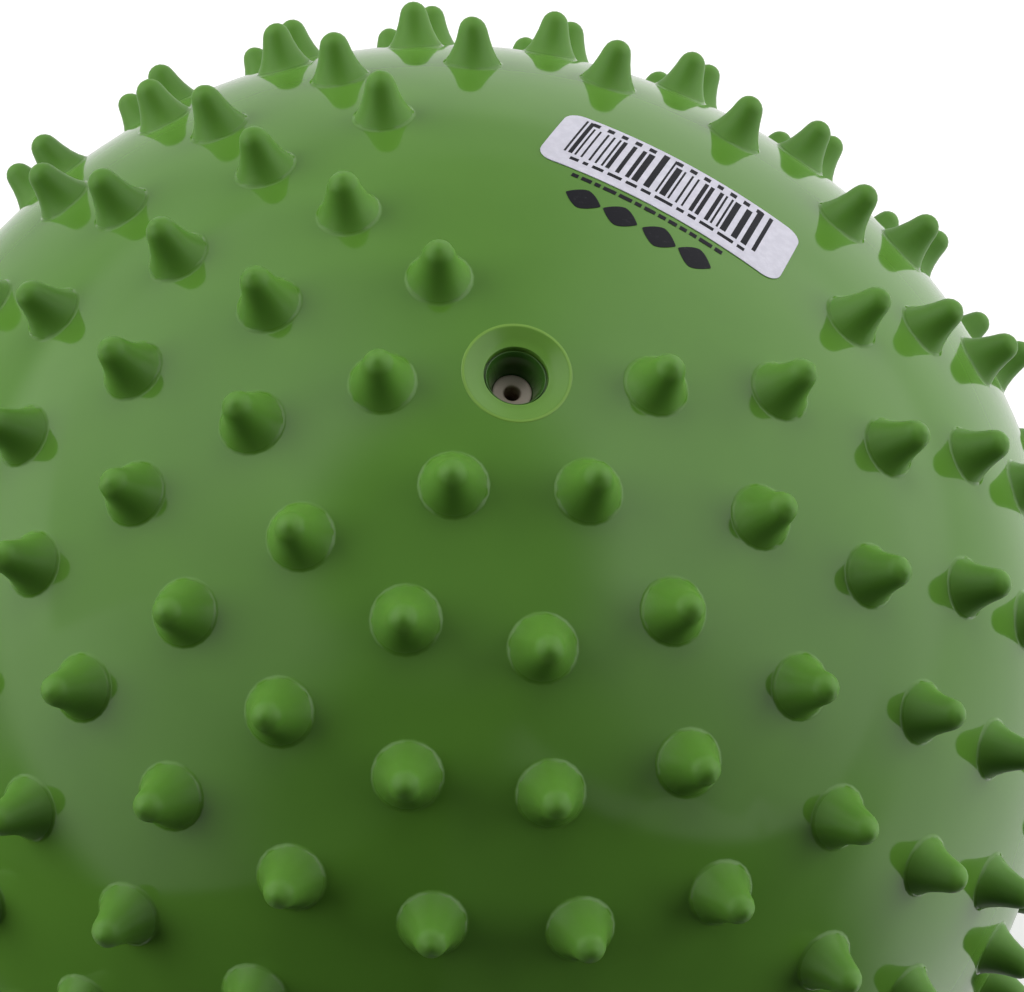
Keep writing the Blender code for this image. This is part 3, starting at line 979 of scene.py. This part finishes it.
def ground_light(nodes, azimuth):
    dip = nodes.math("MULTIPLY", swing_from(nodes, azimuth, GROUND_AZIMUTH), GROUND_DIP)
    ground = nodes.math("MINIMUM", nodes.math("SUBTRACT", GROUND, dip), GROUND_MOST)
    front = swing_from(nodes, azimuth, FRONT_AZIMUTH)
    return nodes.math("MULTIPLY", nodes.span(front, *FRONT_EDGE, 1.0, FRONT_BRIGHTNESS),
                      ground)


def studio_light(nodes, azimuth, high):
    """How bright the studio is in a direction."""
    on_left = nodes.math("LESS_THAN", azimuth, math.radians(LEFT_FROM))
    studio = walls_light(nodes, azimuth, high, on_left)
    tilt = nodes.math("MULTIPLY", swing_from(nodes, azimuth, TOP_AZIMUTH), TOP_TILT)
    roof = nodes.span(nodes.math("SUBTRACT", high, tilt), TOP_MIDDLE - TOP_SOFTNESS,
                      TOP_MIDDLE + TOP_SOFTNESS, 0.0, 1.0)
    studio = blended(nodes, roof, studio, OVERHEAD)
    studio = blended(nodes, nodes.span(high, *HORIZON, 1.0, 0.0), studio,
                     ground_light(nodes, azimuth))
    along = nodes.math("SUBTRACT", azimuth, math.radians(EDGE_AZIMUTH))
    edge = nodes.math("ADD", EDGE_HEIGHT, nodes.math("MULTIPLY", along, EDGE_SLOPE))
    lit_left = nodes.span(nodes.math("SUBTRACT", high, edge), -EDGE_SOFTNESS, EDGE_SOFTNESS,
                          EDGE_BRIGHTNESS, 1.0)
    return nodes.math("MULTIPLY", studio, blended(nodes, on_left, 1.0, lit_left))


def make_world():
    """The studio as the skin mirrors it; the camera sees plain white instead."""
    world = bpy.data.worlds.new("studio")
    bpy.context.scene.world = world
    world.use_nodes = True
    nodes = Nodes(world.node_tree)
    aim = nodes.add("ShaderNodeTexCoord").outputs["Generated"]
    apart = nodes.add("ShaderNodeSeparateXYZ")
    nodes.link(aim, apart.inputs[0])
    azimuth = nodes.math("ARCTAN2", apart.outputs[1], apart.outputs[0])
    studio = studio_light(nodes, azimuth, apart.outputs[2])
    rays = nodes.add("ShaderNodeLightPath")
    matte = nodes.span(rays.outputs["Is Diffuse Ray"], 0.0, 1.0, 1.0, WORLD_ON_MATTE, False)
    lit = nodes.add("ShaderNodeBackground")
    nodes.link(nodes.math("MULTIPLY", studio, matte), lit.inputs["Strength"])
    seen = nodes.add("ShaderNodeBackground")
    seen.inputs["Strength"].default_value = SEEN_BACKGROUND
    both = nodes.add("ShaderNodeMixShader")
    nodes.link(rays.outputs["Is Camera Ray"], both.inputs[0])
    nodes.link(lit.outputs[0], both.inputs[1])
    nodes.link(seen.outputs[0], both.inputs[2])
    output = nodes.add("ShaderNodeOutputWorld")
    nodes.link(both.outputs[0], output.inputs["Surface"])


def soft_light(name, azimuth, elevation, distance, size, power):
    """A round lamp aimed at the ball, left out of its reflections."""
    data = bpy.data.lights.new(name, "AREA")
    data.shape = "DISK"
    data.size = size
    data.energy = power
    item = bpy.data.objects.new(name, data)
    away = Vector(direction(90.0 - elevation, azimuth))
    item.location = away * distance
    item.rotation_mode = "QUATERNION"
    item.rotation_quaternion = (-away).to_track_quat("-Z", "Y")
    item.visible_glossy = False
    item.visible_camera = False
    bpy.context.scene.collection.objects.link(item)


def make_floor(material, height):
    mesh = bmesh.new()
    bmesh.ops.create_circle(mesh, cap_ends=True, segments=96, radius=FLOOR_RADIUS)
    data = bpy.data.meshes.new("floor")
    mesh.to_mesh(data)
    mesh.free()
    data.materials.append(material)
    item = bpy.data.objects.new("floor", data)
    item.location.z = height
    bpy.context.scene.collection.objects.link(item)


def make_camera():
    """The photograph's camera, from a fit to the outline, the spikes and the valve."""
    data = bpy.data.cameras.new("camera")
    data.sensor_width = 36.0
    data.lens = LENS
    data.clip_start, data.clip_end = 0.01, 60.0
    item = bpy.data.objects.new("camera", data)
    ahead = Vector(CAMERA_AHEAD).normalized()
    up = Vector(CAMERA_UP)
    right = ahead.cross(up).normalized()
    up = right.cross(ahead)
    turn = Matrix((right, up, -ahead)).transposed()
    item.matrix_world = Matrix.Translation(CAMERA_PLACE) @ turn.to_4x4()
    bpy.context.scene.collection.objects.link(item)
    bpy.context.scene.camera = item


# ================================================================ put together
make_camera()
make_world()
soft_light("right", 8.0, 15.0, LAMP_DISTANCE, 1.5, 18.5)
soft_light("left", 167.0, 19.0, LAMP_DISTANCE, 1.5, 17.5)
soft_light("top", 90.0, 50.0, LAMP_DISTANCE, 1.4, 8.5)
make_floor(floor_material(), cad_box[0].z - FLOOR_GAP)
bpy.context.scene.view_settings.view_transform = "Standard"

skin = make_skin(pvc_material("ball_skin", SKIN_GREEN, SKIN_DARK, (0.065, 0.10), 0.0),
                 spike_material())
# With bore set, the seat's colour carries painted shade down the bore and a painted highlight on
# its rim
seat = make_seat(pvc_material("seat_pvc", SEAT_GREEN, SEAT_DARK, (0.12, 0.17), 0.3,
                              bore=True))
plug = make_plug(plug_material())
seal = make_seal(rubber_material())
sticker = make_label(film_material(), ink_material("sticker_ink", 0.38))
printed = make_print(ink_material("skin_ink", 0.14))
dashes = make_sticker_dashes(sticker.data.materials[1])

for piece, body, slot, node in (
        (skin, "ball", "ball_skin", "ball_shell"),
        (seat, "ball", "seat_pvc", "valve_seat"),
        (sticker, "ball", "label_film", "product_label"),
        (plug, "plug", "plug_plastic", "valve_plug"),
        (seal, "plug", "seal_rubber", "needle_seal")):
    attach(piece, body)
    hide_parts(node)
for piece in (printed, dashes):
    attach(piece, "ball")
